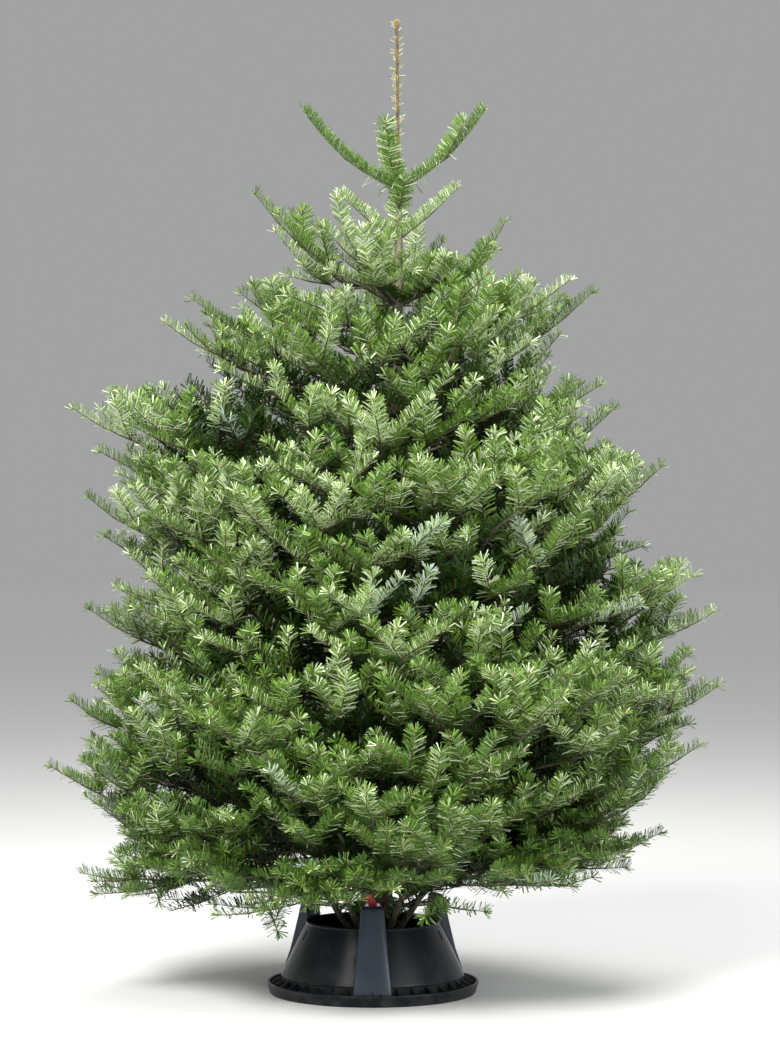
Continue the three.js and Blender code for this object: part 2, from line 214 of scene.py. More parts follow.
def wear_group():
    """Node group: how scuffed, dusty and uneven a moulded surface is at each place."""
    group = bpy.data.node_groups.new("moulded_wear", "ShaderNodeTree")
    for name in ("Scuff Scale", "Dust Height"):
        group.interface.new_socket(name, in_out="INPUT", socket_type="NodeSocketFloat")
    for name in ("Scuff", "Dust", "Grain"):
        group.interface.new_socket(name, in_out="OUTPUT", socket_type="NodeSocketFloat")
    given = group.nodes.new("NodeGroupInput").outputs
    place = add_node(group, "TexCoord", {}).outputs["Object"]
    streaks = add_node(group, "Mapping", {"Vector": place, "Scale": (1.0, 1.0, 0.35)})
    scuffs = add_node(group, "TexNoise", {"Vector": streaks.outputs[0], "Scale": given["Scuff Scale"],
                                          "Detail": 9, "Roughness": 0.72})
    scuffed = add_node(group, "MapRange", {"Value": scuffs.outputs["Fac"], "From Min": 0.54,
                                           "From Max": 0.70})
    height = add_node(group, "SeparateXYZ", {"Vector": place})
    settled = add_node(group, "MapRange", {"Value": height.outputs["Z"], "From Max": given["Dust Height"],
                                           "To Min": 1.0, "To Max": 0.0})
    specks = add_node(group, "TexNoise", {"Vector": place, "Scale": 34, "Detail": 8})
    speckled = add_node(group, "MapRange", {"Value": specks.outputs["Fac"], "From Min": 0.42,
                                            "From Max": 0.78})
    dust = add_node(group, "Math", {0: settled.outputs[0], 1: speckled.outputs[0], 2: 0.05},
                    operation="MULTIPLY_ADD")
    grain = add_node(group, "TexNoise", {"Vector": place, "Scale": 900, "Detail": 3})
    feed(group, group.nodes.new("NodeGroupOutput"),
         {"Scuff": scuffed.outputs[0], "Dust": dust.outputs[0], "Grain": grain.outputs["Fac"]})
    return group


def add_wear(tree, scale, dust_height, colour, scuff_colour):
    """Places the wear group in a material: returns its outputs and the colour tinted by its scuffs."""
    group = bpy.data.node_groups.get("moulded_wear") or wear_group()
    wear = add_node(tree, "Group", {}, node_tree=group)
    feed(tree, wear, {"Scuff Scale": scale, "Dust Height": dust_height})
    tint = add_node(tree, "Mix", {"A": colour, "B": scuff_colour, "Factor": wear.outputs["Scuff"]},
                    data_type="RGBA")
    return wear.outputs, tint.outputs["Result"]


def moulded_finish(name, colour, smooth, gloss):
    """Glossy moulded plastic with scuffs, and dust that settles towards the ground."""
    finish, tree, shader = new_finish(name)
    wear, tint = add_wear(tree, SCUFF_SCALE, DUST_HEIGHT, colour, SCUFF_COLOUR)
    dusty = add_node(tree, "Mix", {"A": tint, "B": DUST_COLOUR, "Factor": wear["Dust"]}, data_type="RGBA")
    worn = add_node(tree, "Math", {0: wear["Scuff"], 1: wear["Dust"]}, operation="MAXIMUM")
    rough = add_node(tree, "MapRange", {"Value": worn.outputs[0], "To Min": smooth, "To Max": DULLEST})
    feed(tree, shader, {"Base Color": dusty.outputs["Result"], "Roughness": rough.outputs[0],
                        "Specular IOR Level": gloss, "Normal": bumped(tree, wear["Grain"], 0.12, 0.0004)})
    return finish


base_points = corners_of("stand_base")
base_spread = np.hypot(base_points[:, 0], base_points[:, 1])
base_radius = float(base_spread.max())
rim_height = float(base_points[:, 2].max())
rim_radius = float(base_spread[base_points[:, 2] > rim_height - 1e-4].max())
foot_ring = (base_points[:, 2] > CONE_FOOT[0]) & (base_points[:, 2] < CONE_FOOT[1])
cone_radius = float(base_spread[foot_ring].max())
cone_height = float(base_points[foot_ring, 2].max())

base_outline = soften([
    (base_radius - 0.006, 0.0),
    (base_radius - 0.0012, LIP_HEIGHT - 3 * BEAD),
    (base_radius, LIP_HEIGHT - 2 * BEAD),
    (base_radius, LIP_HEIGHT),
    (base_radius - LIP_WALL, LIP_HEIGHT),
    (base_radius - LIP_WALL - 0.001, FLOOR),
    (cone_radius - 0.001, FLOOR),
    (cone_radius - 0.001, cone_height - BEAD),
    (cone_radius + 0.0005, cone_height - 0.5 * BEAD),
    (cone_radius - 0.001, cone_height + BEAD),
    (rim_radius - 0.0005, rim_height - 2 * BEAD),
    (rim_radius + 0.0008, rim_height - BEAD),
    (rim_radius - 0.001, rim_height),
    (rim_radius - WALL, rim_height),
    (cone_radius - WALL, cone_height),
    (cone_radius - WALL, FLOOR),
    (0.0, FLOOR),
    (0.0, 0.0),
], MOULD_ROUNDING)
base_mesh = turn(base_outline)
stand_plastic = moulded_finish("stand_plastic", PLASTIC_COLOUR, 0.30, 0.20)
stand_base = add_piece("stand_base_moulding", base_mesh, [stand_plastic], ["stand_base"])
slots = bmesh.new()
for bearing in SLOT_BEARINGS:
    middle = rim_height - SLOT_DROP
    add_box(slots, (rim_radius - 0.01, -SLOT_WIDTH / 2, middle - SLOT_HEIGHT),
            (rim_radius + 0.03, SLOT_WIDTH / 2, middle), math.radians(bearing))
cut(stand_base, slots)

ribs = bmesh.new()
for rib in range(RIBS):
    corners = add_box(ribs, (cone_radius - 0.002, -RIB_WIDTH / 2, FLOOR - 0.001),
                      (base_radius - LIP_WALL + 0.0005, RIB_WIDTH / 2, cone_height - RIB_DROP),
                      2 * math.pi * (rib + 0.5) / RIBS)
    for corner in corners:
        if math.hypot(corner.co.x, corner.co.y) > cone_radius + 0.01 and corner.co.z > FLOOR:
            corner.co.z = LIP_HEIGHT - RIB_DROP
add_piece("stand_ribs", ribs, [stand_plastic], [])

# ---- Stand posts ----
# Three broad hollow buttresses of the same black plastic stand against the cone at equal turns. Their outer
# faces bulge a little, and each rises past the rim, where it guides a clamp screw. Their colour is lighter
# and bluer than the base's: a painted sheen of the sky on their faces.
UP = Vector((0, 0, 1))
POST_RINGS = 44
POST_SECTION = 48
POST_SQUARENESS = 0.30
POST_BULGE = 0.0035
POST_ROUNDING = 0.005
POST_TOP_TRIM = 0.3
CONE_CLEARANCE = 0.008
POST_NOTCH = (0.0030, 0.012)
NOTCH_FOOT = 0.018
# The base's black plastic painted lighter and bluer: a painted sheen, not a colour of the posts' own.
POST_SHEEN_COLOUR = (0.026, 0.040, 0.062, 1)
post_names = sorted(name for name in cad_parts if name.startswith("stand_post"))


def cone_at(z):
    """The radius of the stand's cone at a height."""
    return np.interp(z, (cone_height, rim_height), (cone_radius, rim_radius))


def post_mesh(points):
    """A post from its CAD solid: at each height, a rounded section as deep and as wide as the solid."""
    middle = points.mean(0)
    out = Vector((middle[0], middle[1], 0)).normalized()
    across = Vector((-out.y, out.x, 0))
    reach = points @ np.array(out)
    width = np.abs(points @ np.array(across))
    low, high = points[:, 2].min(), points[:, 2].max()
    outside = reach > cone_at(points[:, 2]) + CONE_CLEARANCE
    chains = []
    for members, values in ((outside, reach), (~outside, reach), (width > 0, width)):
        rising = np.argsort(points[members, 2])
        chains.append((points[members, 2][rising], values[members][rising]))
    made = bmesh.new()
    rings = []
    for step in range(POST_RINGS + 1):
        z = low + (high - low) * math.sin(0.5 * math.pi * step / POST_RINGS)
        far, near, half = (np.interp(z, *chain) for chain in chains)
        below_top = min(1, (high - z) / POST_ROUNDING)
        trim = 1 - POST_TOP_TRIM * (1 - math.sqrt(max(0, 1 - (1 - below_top) ** 2)))
        ring = []
        for turned in range(POST_SECTION):
            angle = 2 * math.pi * (turned + 0.5) / POST_SECTION
            x = math.copysign(abs(math.cos(angle)) ** POST_SQUARENESS, math.cos(angle)) * trim
            y = math.copysign(abs(math.sin(angle)) ** POST_SQUARENESS, math.sin(angle)) * trim
            bulge = POST_BULGE * x * x if y > 0 else 0
            depth = (far + near) / 2 + (far - near) / 2 * y - bulge
            ring.append(made.verts.new(out * depth + across * half * x + UP * z))
        rings.append(ring)
    skin(made, rings)
    return made, out, float(np.interp(LIP_HEIGHT, *chains[0]))


# The posts' plastic, in the painted sheen colour.
post_plastic_painted_sheen = moulded_finish("post_plastic_painted_sheen", POST_SHEEN_COLOUR, 0.34, 0.40)
for name in post_names:
    made, out, face_reach = post_mesh(corners_of(name))
    post = add_piece(name + "_moulding", made, [post_plastic_painted_sheen], [name], crease=50)
    notch = bmesh.new()
    width, height = POST_NOTCH
    add_box(notch, (face_reach - 0.005, -width / 2, NOTCH_FOOT),
            (face_reach + 0.02, width / 2, NOTCH_FOOT + height), math.atan2(out.y, out.x))
    cut(post, notch)

# ---- Clamps ----
# Each post guides a level zinc-plated screw. Its inner end carries a pressed steel pad that bites on the
# bark and holds the stem upright.
THREAD_PITCH = 0.0022
THREAD_DEPTH = 0.0007
SCREW_RADIUS = 0.005
SCREW_RING = 20
RINGS_PER_TURN = 6
PAD_INSET = 0.004
PAD_ROWS = 7
PAD_COLUMNS = 13
PAD_THICKNESS = 0.002
PAD_CURL = 0.0035
STEEL_COLOUR = (0.46, 0.46, 0.47, 1)
DULL_STEEL_COLOUR = (0.20, 0.17, 0.14, 1)
clamp_names = sorted(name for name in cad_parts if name.startswith("stand_clamp"))


def steel_finish():
    """Zinc plate, dulled in patches."""
    finish, tree, shader = new_finish("zinc_plate")
    wear, tint = add_wear(tree, 70, DUST_HEIGHT, STEEL_COLOUR, DULL_STEEL_COLOUR)
    rough = add_node(tree, "MapRange", {"Value": wear["Scuff"], "To Min": 0.3, "To Max": 0.65})
    feed(tree, shader, {"Base Color": tint, "Roughness": rough.outputs[0], "Metallic": 1.0})
    return finish


def clamp_mesh(points):
    """A threaded rod with a curved pad at its inner end, along the clamp's own direction."""
    middle = points.mean(0)
    out = Vector((middle[0], middle[1], 0)).normalized()
    across = Vector((-out.y, out.x, 0))
    reach = points @ np.array(out)
    width = np.abs(points @ np.array(across))
    near, far = float(reach.min()), float(reach.max())
    half, top, bottom = float(width.max()), float(points[:, 2].max()), float(points[:, 2].min())
    level = (top + bottom) / 2
    made = bmesh.new()
    rings = []
    count = int((far - near - PAD_INSET) / THREAD_PITCH * RINGS_PER_TURN)
    for step in range(count + 1):
        distance = far - (far - near - PAD_INSET) * step / count
        ring = []
        for turned in range(SCREW_RING):
            angle = 2 * math.pi * turned / SCREW_RING
            phase = (distance / THREAD_PITCH - turned / SCREW_RING) % 1
            radius = SCREW_RADIUS - THREAD_DEPTH * abs(2 * phase - 1)
            height = level + radius * math.sin(angle)
            ring.append(made.verts.new(out * distance + across * radius * math.cos(angle) + UP * height))
        rings.append(ring)
    skin(made, rings)
    rings = []
    for row in range(PAD_ROWS):
        z = 2 * row / (PAD_ROWS - 1) - 1
        ring = []
        for layer, columns in ((0, range(PAD_COLUMNS)), (1, range(PAD_COLUMNS - 1, -1, -1))):
            for column in columns:
                x = 2 * column / (PAD_COLUMNS - 1) - 1
                corner = 1 - 0.12 * (abs(x) > 0.9) * (abs(z) > 0.9)
                depth = near + 0.0005 + PAD_THICKNESS * layer + PAD_CURL * x * x
                height = level + (top - level) * z * corner
                ring.append(made.verts.new(out * depth + across * half * x * corner + UP * height))
        rings.append(ring)
    skin(made, rings, flat_ends=True)
    return made


zinc = steel_finish()
for name in clamp_names:
    add_piece(name + "_screw", clamp_mesh(corners_of(name)), [zinc], [name])

# ---- Red tie ----
# A strip of soft red plastic is looped over the front clamp screw. Its loose end twists to face forwards and
# stands up beside the head of the post.
TIE_STEPS = 48
TIE_COLUMNS = 7
TIE_THICKNESS = 0.0014
TIE_TURNS = (-290, 35)
TIE_HALF = 0.0056
TIE_CUP = 0.0014
TAIL_INSET = (0.0068, 0.0012, 0.0062)
TAIL_ACROSS = (0.76, 0, 0.65)
TAIL_HALF = 0.0084
TAIL_TWIST = 0.5
TAIL_BELLY = 0.006
TIE_COLOUR = (0.36, 0.012, 0.022, 1)
FADED_TIE_COLOUR = (0.52, 0.07, 0.07, 1)


def tie_finish():
    """Soft plastic, faintly grained and scuffed."""
    finish, tree, shader = new_finish("red_strip")
    wear, tint = add_wear(tree, 120, DUST_HEIGHT, TIE_COLOUR, FADED_TIE_COLOUR)
    feed(tree, shader, {"Base Color": tint, "Roughness": 0.42,
                        "Normal": bumped(tree, wear["Grain"], 0.3, 0.0003)})
    return finish


tie_low, tie_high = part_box("red_tie")
screw_low, screw_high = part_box("stand_clamp_front")
loop_middle = Vector(((screw_low.x + screw_high.x) / 2, (tie_low.y + tie_high.y) / 2,
                      (screw_low.z + screw_high.z) / 2))
tail_end = Vector((tie_low.x + TAIL_INSET[0], tie_high.y - TAIL_INSET[1], tie_high.z - TAIL_INSET[2]))
tie_line = []
for step in range(TIE_STEPS):
    turned = math.radians(TIE_TURNS[0] + (TIE_TURNS[1] - TIE_TURNS[0]) * min(1, 2 * step / (TIE_STEPS - 1)))
    on_loop = loop_middle + Vector((math.cos(turned), 0, math.sin(turned))) * (SCREW_RADIUS + TIE_THICKNESS)
    rise = max(0, 2 * step / (TIE_STEPS - 1) - 1)
    belly = Vector((TAIL_BELLY, 0, 0)) * math.sin(math.pi * rise)
    twist = min(1, rise / TAIL_TWIST)
    twist = twist * twist * (3 - 2 * twist)
    width = Vector((0, 1, 0)).lerp(Vector(TAIL_ACROSS), twist).normalized()
    half = TIE_HALF + (TAIL_HALF - TIE_HALF) * twist
    tie_line.append((on_loop.lerp(tail_end, rise) + belly, width * half))
made = bmesh.new()
rings = []
for index, (point, width) in enumerate(tie_line):
    ahead = tie_line[min(index + 1, TIE_STEPS - 1)][0] - tie_line[max(index - 1, 0)][0]
    normal = ahead.cross(width).normalized()
    ring = []
    for layer, columns in ((-1, range(TIE_COLUMNS)), (1, range(TIE_COLUMNS - 1, -1, -1))):
        for column in columns:
            across = 2 * column / (TIE_COLUMNS - 1) - 1
            cup = TIE_CUP * (1 - across ** 2) * index / TIE_STEPS
            ring.append(made.verts.new(point + width * across + normal * (layer * TIE_THICKNESS / 2 + cup)))
    rings.append(ring)
skin(made, rings, flat_ends=True)
add_piece("red_tie_strip", made, [tie_finish()], ["red_tie"])

# ---- Trunk ----
# The stem of a young fir: grey-brown bark with shallow cracks and resin blisters at the foot, smoother and
# greener higher up, swollen where each tier of boughs leaves it, and golden brown on the leading shoot.
TRUNK_RING = 30
TRUNK_STEP = 0.0045
BARK_SEED = Vector((3.1, 7.7, 1.3))
RELIEF_STRETCH = 0.35
BARK_ROUGHNESS = 0.82
BARK_LOW = (0.125, 0.084, 0.050, 1)
BARK_MIDDLE = (0.130, 0.118, 0.070, 1)
BARK_HIGH = (0.215, 0.215, 0.130, 1)
BARK_TOP = (0.175, 0.115, 0.048, 1)
CRACK_COLOUR = (0.030, 0.022, 0.016, 1)

trunk_points = corners_of("trunk")
trunk_heights = np.unique(trunk_points[:, 2].round(4))
trunk_rings = [trunk_points[np.abs(trunk_points[:, 2] - z) < 2e-4] for z in trunk_heights]
trunk_middles = np.array([(ring.min(0) + ring.max(0)) / 2 for ring in trunk_rings])
trunk_radii = np.array([np.hypot(*(ring[:, :2] - middle[:2]).T).max()
                        for ring, middle in zip(trunk_rings, trunk_middles)])
trunk_top = float(trunk_heights[-1])


def stem_at(z):
    """The middle of the trunk at a height."""
    return Vector((np.interp(z, trunk_heights, trunk_middles[:, 0]),
                   np.interp(z, trunk_heights, trunk_middles[:, 1]), z))


def stem_radius(z):
    """The trunk's radius at a height."""
    return float(np.interp(z, trunk_heights, trunk_radii))


def bark_relief(place, radius):
    """How far the bark stands out: plates and cracks on thick wood, fine wrinkles on thin wood."""
    around = Vector((place.x, place.y, place.z * RELIEF_STRETCH)) + BARK_SEED
    plates = noise.fractal(around * 55, 1.0, 2.1, 4)
    rings = noise.noise(Vector((place.x * 14, place.y * 14, place.z * 190)) + BARK_SEED)
    blister = max(0, noise.noise(place * 85 + BARK_SEED) - 0.42)
    coarse = min(1, radius / 0.03)
    return radius * (0.035 + 0.030 * coarse) * plates + 0.0005 * rings * coarse + 0.006 * blister * coarse


def limb_skin(made, line, radii, sides, relief=1.0):
    """Adds a closed limb with bark relief along a line of points."""
    rings = []
    side = None
    for index, (point, radius) in enumerate(zip(line, radii)):
        ahead = (line[min(index + 1, len(line) - 1)] - line[max(index - 1, 0)]).normalized()
        if side is None:
            side = ahead.orthogonal().normalized()
        side = (side - ahead * side.dot(ahead)).normalized()
        other = ahead.cross(side)
        ring = []
        for step in range(sides):
            angle = 2 * math.pi * step / sides
            direction = side * math.cos(angle) + other * math.sin(angle)
            place = point + direction * radius
            raised = radius + relief * bark_relief(place, radius)
            ring.append(made.verts.new(point + direction * raised))
        rings.append(ring)
    skin(made, rings)


def bark_finish(name, by_height):
    """Bark, darker in its cracks: in patches, or by height from grey-brown to a golden brown leader."""
    finish, tree, shader = new_finish(name)
    place = add_node(tree, "TexCoord", {}).outputs["Object"]
    stretch = add_node(tree, "Mapping", {"Vector": place, "Scale": (1.0, 1.0, 0.4)})
    cracks = add_node(tree, "TexNoise", {"Vector": stretch.outputs[0], "Scale": 150, "Detail": 8,
                                         "Roughness": 0.7})
    depth = add_node(tree, "MapRange", {"Value": cracks.outputs["Fac"], "From Min": 0.36, "From Max": 0.58})
    if by_height:
        height = add_node(tree, "SeparateXYZ", {"Vector": place})
        along = add_node(tree, "MapRange", {"Value": height.outputs["Z"], "From Max": trunk_top})
    else:
        along = add_node(tree, "TexNoise", {"Vector": place, "Scale": 12})
    tone = add_node(tree, "ValToRGB", {"Fac": along.outputs[0]})
    stops = tone.color_ramp.elements
    stops[0].color, stops[0].position = BARK_LOW, 0.0
    stops[1].color, stops[1].position = BARK_MIDDLE, 0.62
    if by_height:
        for position, colour in ((0.72, BARK_HIGH), (0.82, BARK_HIGH), (0.87, BARK_TOP)):
            stops.new(position).color = colour
    colour = add_node(tree, "Mix", {"A": CRACK_COLOUR, "B": tone.outputs[0], "Factor": depth.outputs[0]},
                      data_type="RGBA")
    feed(tree, shader, {"Base Color": colour.outputs["Result"], "Roughness": BARK_ROUGHNESS,
                        "Normal": bumped(tree, depth.outputs[0], 0.6, 0.001)})
    return finish


trunk_line = [stem_at(z) for z in [*np.arange(trunk_heights[0], trunk_top, TRUNK_STEP), trunk_top]]
made = bmesh.new()
limb_skin(made, trunk_line, [stem_radius(point.z) for point in trunk_line], TRUNK_RING)
trunk = add_piece("trunk_bark", made, [bark_finish("trunk_bark", True)], ["trunk"], crease=0)
trunk.data.polygons.foreach_set("use_smooth", [True] * len(trunk.data.polygons))

# ---- Boughs ----
# Boughs leave the stem in tiers, with thinner ones above and below each main one. Every year a bough has
# grown one length and left side branches at the end of it, which have done the same in their turn. Seeded
# chance repeats this until each branch meets the edge of the space that its mass of foliage fills.
GROWTH_SEED = 29
YEAR = {"tier9": 0.27, "tier8": 0.168, "tier7": 0.158, "tier6": 0.146, "tier5": 0.136, "tier4": 0.128}
LOWER_YEAR = 0.122
SIDE_YEAR = (0.0, 0.122, 0.114, 0.102)
SHORTEST = 0.068
SIDE_ANGLE = (math.radians(48), math.radians(46), math.radians(44))
YOUNG_RISE = 0.18
OLD_RISE = 0.07
TIP_RISE = 0.012
LIFT = (0.05, 0.60)
LOW_LIFT = (-0.30, 0.45)
LOW_RISE = 0.5
MOST_ORDERS = 2
BETWEEN_CHANCE = 0.45
UPWARD_CHANCE = 0.30
LONGEST_SIDE = 0.40
LOWEST_TIP = 0.18
BODY_SHARE = 0.91
TIP_ROOM = 0.105
TOP_GAP = (1.71, 0.03)
CEILING = (1.49, 0.55)
DYING_DEPTH = (0.27, 0.50)
GAP_HEIGHTS = (0.27, 1.46, 0.06)
GAP_TURNS = 30
GAP_LAYERS = ((0.86, 0.075), (0.58, 0.115))
LAST_LEAFY = 2
GAP_SAG = -0.03
GAP_THICKNESS = 0.0045
LIMB_SIDES = (8, 5)
LIMB_RELIEF = 0.8
MAIN_LIMB = 0.005
BOUGH_STEPS = 14
BOUGH_START = 0.4
HEIGHT_EASE = 1.4
ASIDE_EASE = 0.8
THINNEST_SPACE = 0.7
CURL_START = 0.72
ROOM_STEP = 0.03
NEAR_BEARING = 0.45
NEAR_HEIGHT = 0.07
BETWEEN_YEARS = 0.9
BOUGH_THICKNESS = (0.0020, 0.0095, 0.0085)
OTHER_THICKNESS = 0.65
LIMB_STEP = 0.012
# For each bough of a mass: its height in the mass at the stem and at the tip, its place across it at the
# tip, how far out it reaches, and how vigorous its side branches are; all as shares of the whole.
MAIN_BOUGH = (0.25, 0.50, 0.50, 1.00, 1.00)
OTHER_BOUGHS = {
    "tier1": [(0.45, 1.00, 0.05, 0.86, 0.9), (0.45, 0.60, 0.95, 0.84, 0.9), (0.45, -0.50, 0.30, 0.74, 0.9)],
    "tier2": [(-0.25, 0.00, 0.15, 0.88, 0.9), (0.70, 0.95, 0.80, 0.86, 0.9), (0.00, 0.30, 1.00, 0.82, 0.9),
              (-0.30, -0.25, 0.60, 0.72, 0.8)],
    "tier7": [(0.60, 1.00, 0.80, 0.84, 0.9), (0.85, 1.25, 0.20, 0.66, 0.8), (-0.1, 0.0, 0.10, 0.86, 0.9)],
    "tier8": [(0.15, 0.05, 0.20, 0.86, 0.9), (0.35, 0.30, 0.85, 0.80, 0.9)],
    "tier9": [],
    "others": [(-0.15, 0.00, 0.20, 0.90, 0.9), (0.70, 1.05, 0.75, 0.88, 0.9), (0.45, 0.80, 0.00, 0.86, 0.9),
               (0.10, 0.22, 1.00, 0.86, 0.9)],
}
# Small shoots straight from the stem below the top: height, length, bearing in degrees, and rise for each
# unit out.
STEM_SHOOTS = [(1.578, 0.165, 4, 0.72), (1.574, 0.160, 176, 0.66), (1.640, 0.075, 285, 0.9),
               (1.60, 0.09, 95, 0.8)]
LEADER_FOOT = 1.585
LEADER_LENGTH = 0.075
WHORL_CURVE = 0.17
TOP_TWIG = (0.50, -0.25, 0.80)
TOP_TWIG_LENGTH = 0.095
chance = random.Random(GROWTH_SEED)
mass_names = sorted(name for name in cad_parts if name.startswith("foliage"))
shoots = []
limbs = []


class Space:
    """The space one mass of foliage fills: its solid, measured station by station out from the stem."""

    def __init__(self, name):
        self.name = name
        self.tier = name.split("_")[1]
        self.year = YEAR.get(self.tier, LOWER_YEAR)
        self.curl = 0 if self.tier == "tier9" else TIP_RISE
        self.lift = LOW_LIFT if self.tier == "tier1" else LIFT
        self.eager = LOW_RISE if self.tier == "tier1" else 1.0
        points = corners_of(name)
        axis = np.array([stem_at(z)[:2] for z in points[:, 2]])
        distance = np.hypot(*(points[:, :2] - axis).T)
        self.root = stem_at(float(points[distance < distance.min() + 0.008, 2].mean()))
        tip = points[distance > distance.max() - 0.010].mean(0)
        self.tip = Vector(tip)
        self.out = Vector((tip[0] - self.root.x, tip[1] - self.root.y, 0)).normalized()
        self.across = UP.cross(self.out)
        outs = (points - np.array(self.root)) @ np.array(self.out)
        sideways = (points - np.array(self.root)) @ np.array(self.across)
        order = np.argsort(outs)
        stations = np.split(order, np.flatnonzero(np.diff(outs[order]) > 0.005) + 1)
        self.outs = [outs[members].mean() for members in stations]
        self.edges = [[fold(values[members]) for members in stations]
                      for values in (points[:, 2], sideways) for fold in (np.min, np.max)]
        self.thickness = max(high - low for low, high in zip(self.edges[0], self.edges[1]))
        wood = name.replace("foliage", "bough")
        self.wood = []
        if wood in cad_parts:
            corners = corners_of(wood)
            wood_outs = (corners - np.array(self.root)) @ np.array(self.out)
            self.wood = [Vector(corners[members].mean(0))
                         for members in np.array_split(np.argsort(wood_outs), 6)]

    def bough_line(self, height_at_stem, height_at_tip, aside, reach):
        """A line from the stem out through the space, in equal steps."""
        far = self.outs[-1] * reach
        points = []
        for step in range(BOUGH_STEPS + 1):
            share = step / BOUGH_STEPS
            out = self.outs[0] * BOUGH_START + (far - self.outs[0] * BOUGH_START) * share
            low, high, left, right = (np.interp(out, self.outs, edge) for edge in self.edges)
            height = height_at_stem + (height_at_tip - height_at_stem) * share ** HEIGHT_EASE
            place = 0.5 + (aside - 0.5) * share ** ASIDE_EASE
            point = self.root + self.out * out + self.across * (left + (right - left) * place)
            thickness = max(high - low, self.thickness * THINNEST_SPACE * share)
            curled = self.curl * max(0, share - CURL_START) ** 2 / 0.08
            point.z = (low + high) / 2 + (height - 0.5) * thickness + curled
            points.append(point)
        if self.wood:
            kept = [point for point in points if (point - self.root).dot(self.out) >
                    (self.wood[-1] - self.root).dot(self.out) + 0.03]
            start = self.wood[0] * 2 - self.wood[1]
            points = [start] + self.wood + kept
        else:
            first = points[0]
            points.insert(0, stem_at(first.z - 0.35 * stem_radius(first.z) - 0.01))
        return smoothed(points, LIMB_STEP)


def smoothed(points, step):
    """A line through the points with its corners rounded, cut into equal steps."""
    for _ in range(2):
        cornered = [points[0]]
        for here, there in zip(points, points[1:]):
            cornered += [here.lerp(there, 0.25), here.lerp(there, 0.75)]
        points = cornered + [points[-1]]
    lengths = np.concatenate([[0], np.cumsum([(b - a).length for a, b in zip(points, points[1:])])])
    count = max(2, round(lengths[-1] / step))
    places = np.linspace(0, lengths[-1], count + 1)
    columns = [np.interp(places, lengths, [point[axis] for point in points]) for axis in range(3)]
    return [Vector(point) for point in zip(*columns)]


def outline_at(places):
    """How far places are from the stem, and how far out the crown's outline is there."""
    stem = np.array([stem_at(z) for z in places[:, 2]])
    away = np.hypot(*(places - stem)[:, :2].T)
    bearing = np.arctan2(*(places - stem)[:, 1::-1].T)
    turned = (bearing[:, None] - tip_bearings + math.pi) % (2 * math.pi) - math.pi
    apart = (turned / NEAR_BEARING) ** 2 + ((places[:, 2:] - tip_heights) / NEAR_HEIGHT) ** 2
    nearness = (apart + 0.05) ** -2
    return away, (nearness * tip_reaches).sum(1) / nearness.sum(1)


def crown_room(start, direction):
    """How far a branch can grow from here before it would leave the body of the crown."""
    steps = np.arange(ROOM_STEP, LONGEST_SIDE, ROOM_STEP)
    places = np.array(start) + steps[:, None] * np.array(direction)
    away, outline = outline_at(places)
    past = np.flatnonzero((away > outline * BODY_SHARE) | (places[:, 2] < LOWEST_TIP)
                          | (places[:, 2] > CEILING[0] + CEILING[1] * away))
    return steps[past[0]] if len(past) else LONGEST_SIDE


def shaded(place):
    """Chance decides, by how deep in the crown a place is, whether a branch there died for want of light."""
    away, outline = outline_at(np.array([place]))
    return chance.random() < np.interp(outline[0] - away[0], DYING_DEPTH, (0, 0.8))


def above(heading):
    """The direction nearest to straight up that is square to a heading."""
    return (UP - heading * heading.z).normalized()


def add_shoot(space, start, heading, bend, length, age, order, up, kind="spray"):
    """Records one year's length of wood, and returns where it ends and which way it points there."""
    shoots.append({"space": space, "start": start, "heading": heading, "bend": bend, "length": length,
                   "age": age, "order": order, "up": up, "kind": kind})
    return start + (heading + bend) * length, (heading + 2 * bend).normalized()


def grow(space, start, heading, length, order):
    """Grows a side branch of this length, year by year, with its own side branches."""
    years = max(1, round(length / SIDE_YEAR[order]))
    step = length / years
    for year in range(years):
        age = years - year
        rise = YOUNG_RISE if age == 1 else OLD_RISE
        up = above(heading)
        side = heading.cross(up)
        bend = up * rise * space.eager * chance.uniform(0.3, 1.4) + side * chance.uniform(-0.07, 0.07)
        tilted = (up + side * chance.uniform(-0.35, 0.35)).normalized()
        foot = start
        start, turned = add_shoot(space, start, heading, bend, step, age, order, tilted)
        if age > 1 and order < MOST_ORDERS:
            branch_out(space, start, turned, age - 1, order, 1.0)
            if chance.random() < BETWEEN_CHANCE:
                share = chance.uniform(0.35, 0.65)
                middle = foot + (heading * share + bend * share * share) * step
                branch_out(space, middle, heading, 0.75, order, 1.0)
        heading = turned


def branch_out(space, place, heading, years, order, vigour):
    """Side branches of some years from one place: a pair, and now and then a smaller one above."""
    up = above(heading)
    side = heading.cross(up)
    rolls = [chance.uniform(*space.lift), math.pi - chance.uniform(*space.lift)]
    strengths = [vigour, vigour]
    if order < 2 and chance.random() < UPWARD_CHANCE:
        rolls.append(chance.uniform(1.0, 2.1))
        strengths.append(vigour * 0.6)
    for roll, strength in zip(rolls, strengths):
        if shaded(place):
            continue
        lean = SIDE_ANGLE[min(order, 2)] * chance.uniform(0.85, 1.12)
        sideways = side * math.cos(roll) + up * math.sin(roll)
        direction = (heading * math.cos(lean) + sideways * math.sin(lean)).normalized()
        length = min(years * SIDE_YEAR[order + 1] * strength * chance.uniform(0.85, 1.1),
                     max(TIP_ROOM, crown_room(place, direction)) * chance.uniform(0.88, 1.04))
        if length > SHORTEST:
            grow(space, place, direction, length, order + 1)


